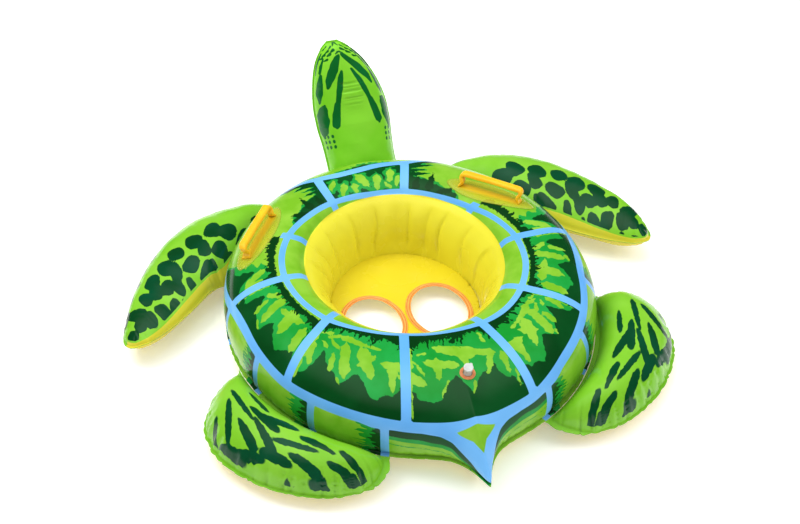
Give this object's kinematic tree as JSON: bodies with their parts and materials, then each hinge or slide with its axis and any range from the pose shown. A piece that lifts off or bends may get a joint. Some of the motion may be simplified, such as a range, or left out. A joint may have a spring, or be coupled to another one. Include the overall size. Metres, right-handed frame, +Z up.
{
  "type": "inflatable seat float",
  "caption": "Inflatable turtle seat float for a small child, with a seat well, leg holes, grab handles, flippers and a push-in air valve.",
  "frame": {"origin": "middle of the object's box, on the surface it stands on", "axes": "+Z up, +Y towards the head, +X to the right as seen by the seated child"},
  "size_m": [1.0804, 1.0398, 0.3293],
  "materials": {
    "ring_print": "glossy printed PVC film, dark green ground with lime and green leaves and light blue lines",
    "film_yellow": "glossy plain PVC film",
    "hem_orange": "welded film hem",
    "flipper_print": "glossy printed PVC film, lime with dark green spots",
    "head_print": "glossy printed PVC film, lime with dark green scale marks",
    "handle_yellow": "soft moulded PVC",
    "patch_yellow": "translucent welded film patch",
    "valve_orange": "translucent moulded weld flange",
    "valve_clear": "clear soft moulded PVC"
  },
  "bodies": {
    "float_body": {"ring_top_panel": "ring_print", "ring_bottom_panel": "film_yellow", "seat_well_wall": "film_yellow", "seat_floor": "film_yellow", "leg_rim_left": "hem_orange", "leg_rim_right": "hem_orange", "handle_left": "handle_yellow", "handle_right": "handle_yellow", "handle_patch_left": "patch_yellow", "handle_patch_right": "patch_yellow", "valve_flange": "valve_orange"},
    "front_flipper_left": {"front_flipper_left_upper": "flipper_print", "front_flipper_left_lower": "film_yellow"},
    "front_flipper_right": {"front_flipper_right_upper": "flipper_print", "front_flipper_right_lower": "film_yellow"},
    "rear_flipper_left": {"rear_flipper_left_upper": "flipper_print", "rear_flipper_left_lower": "film_yellow"},
    "rear_flipper_right": {"rear_flipper_right_upper": "flipper_print", "rear_flipper_right_lower": "film_yellow"},
    "head": {"head_upper": "head_print", "head_lower": "head_print"},
    "valve_tube": {"valve_stem": "valve_clear"},
    "valve_stopper": {"valve_cap": "valve_clear"},
    "valve_check_flap": {"valve_flap": "valve_clear"}
  },
  "joints": [
    {"name": "front_flipper_left_bend", "type": "hinge", "parent": "float_body", "child": "front_flipper_left", "pos_m": [-0.24105, 0.22771, 0.038], "axis": [0.7015, 0.7126, 0], "range_deg": [-5, 18], "stiffness_Nm_per_rad": 4},
    {"name": "front_flipper_right_bend", "type": "hinge", "parent": "float_body", "child": "front_flipper_right", "pos_m": [0.24105, 0.22771, 0.038], "axis": [0.7015, -0.7126, 0], "range_deg": [-5, 18], "stiffness_Nm_per_rad": 4},
    {"name": "rear_flipper_left_bend", "type": "hinge", "parent": "float_body", "child": "rear_flipper_left", "pos_m": [-0.27902, -0.28859, 0.038], "axis": [-0.5805, 0.8143, 0], "range_deg": [-4, 15], "stiffness_Nm_per_rad": 3},
    {"name": "rear_flipper_right_bend", "type": "hinge", "parent": "float_body", "child": "rear_flipper_right", "pos_m": [0.27902, -0.28859, 0.038], "axis": [-0.5805, -0.8143, 0], "range_deg": [-4, 15], "stiffness_Nm_per_rad": 3},
    {"name": "head_nod", "type": "hinge", "parent": "float_body", "child": "head", "pos_m": [0, 0.3311, 0.038], "axis": [1, 0, 0], "range_deg": [-12, 4], "stiffness_Nm_per_rad": 3},
    {"name": "valve_push", "type": "slide", "parent": "float_body", "child": "valve_tube", "axis": [0, 0.2079, -0.9781], "range_m": [0, 0.0075]},
    {"name": "valve_stopper_open", "type": "hinge", "parent": "valve_tube", "child": "valve_stopper", "pos_m": [0.01766, -0.35558, 0.17161], "axis": [-0.6428, 0.7493, 0.1593], "range_deg": [0, 150]},
    {"name": "valve_flap_open", "type": "hinge", "parent": "valve_tube", "child": "valve_check_flap", "pos_m": [0.01552, -0.35172, 0.14483], "axis": [0.6428, -0.7493, -0.1593], "range_deg": [0, 55], "stiffness_Nm_per_rad": 0.0008}
  ]
}
